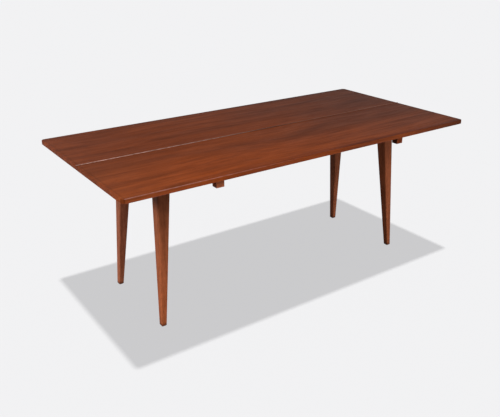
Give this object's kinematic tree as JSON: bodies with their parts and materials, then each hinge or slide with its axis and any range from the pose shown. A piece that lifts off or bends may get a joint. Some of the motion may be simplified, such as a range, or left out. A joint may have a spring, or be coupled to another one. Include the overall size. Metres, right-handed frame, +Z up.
{
  "type": "flip-top dining table",
  "caption": "Rectangular wooden dining table on tapered splayed legs; the rear leaf flips over onto the front leaf and the doubled top slides back to the centre of the base.",
  "frame": {"origin": "on the floor, under the centre of the open top", "axes": "+X along the table's length, +Y from the front leaf to the rear leaf, +Z up"},
  "size_m": [1.9, 0.9, 0.7425],
  "materials": {
    "top_wood": "satin lacquered reddish-brown teak-like veneer, grain along the length",
    "leg_wood": "satin lacquered reddish-brown wood, grain along the leg",
    "frame_wood": "satin lacquered reddish-brown wood",
    "rail_wood": "plain unfinished beech-like rail wood",
    "felt": "thin dark brown felt",
    "glide_plastic": "dark brown hard plastic",
    "hinge_steel": "bronzed steel with a satin sheen",
    "screw_steel": "zinc-plated steel"
  },
  "bodies": {
    "base_frame": {"leg_front_left": "leg_wood", "leg_rear_left": "leg_wood", "leg_front_right": "leg_wood", "leg_rear_right": "leg_wood", "glide_front_left": "glide_plastic", "glide_rear_left": "glide_plastic", "glide_front_right": "glide_plastic", "glide_rear_right": "glide_plastic", "apron_front": "frame_wood", "apron_rear": "frame_wood", "apron_left": "frame_wood", "apron_right": "frame_wood", "guide_left_outer": "rail_wood", "guide_left_inner": "rail_wood", "guide_right_outer": "rail_wood", "guide_right_inner": "rail_wood", "centre_rail": "rail_wood", "brace_front_left": "rail_wood", "brace_rear_left": "rail_wood", "brace_front_right": "rail_wood", "brace_rear_right": "rail_wood", "brace_screws": "screw_steel", "felt_front": "felt", "felt_rear": "felt", "felt_left": "felt", "felt_right": "felt"},
    "slide_leaf": {"front_leaf": "top_wood", "runner_left": "frame_wood", "runner_right": "frame_wood", "runner_screws": "screw_steel", "stop_block_left": "rail_wood", "stop_block_right": "rail_wood", "stop_screws": "screw_steel", "hinge_front_flange": "hinge_steel", "hinge_front_screws": "hinge_steel", "hinge_pin": "hinge_steel"},
    "flip_leaf": {"rear_leaf": "top_wood", "hinge_rear_flange": "hinge_steel", "hinge_rear_screws": "hinge_steel"}
  },
  "joints": [
    {"name": "top_slide", "type": "slide", "parent": "base_frame", "child": "slide_leaf", "axis": [0, 1, 0], "range_m": [0, 0.225]},
    {"name": "leaf_flip", "type": "hinge", "parent": "slide_leaf", "child": "flip_leaf", "pos_m": [0, 0, 0.7402], "axis": [1, 0, 0], "range_deg": [0, 180]}
  ]
}
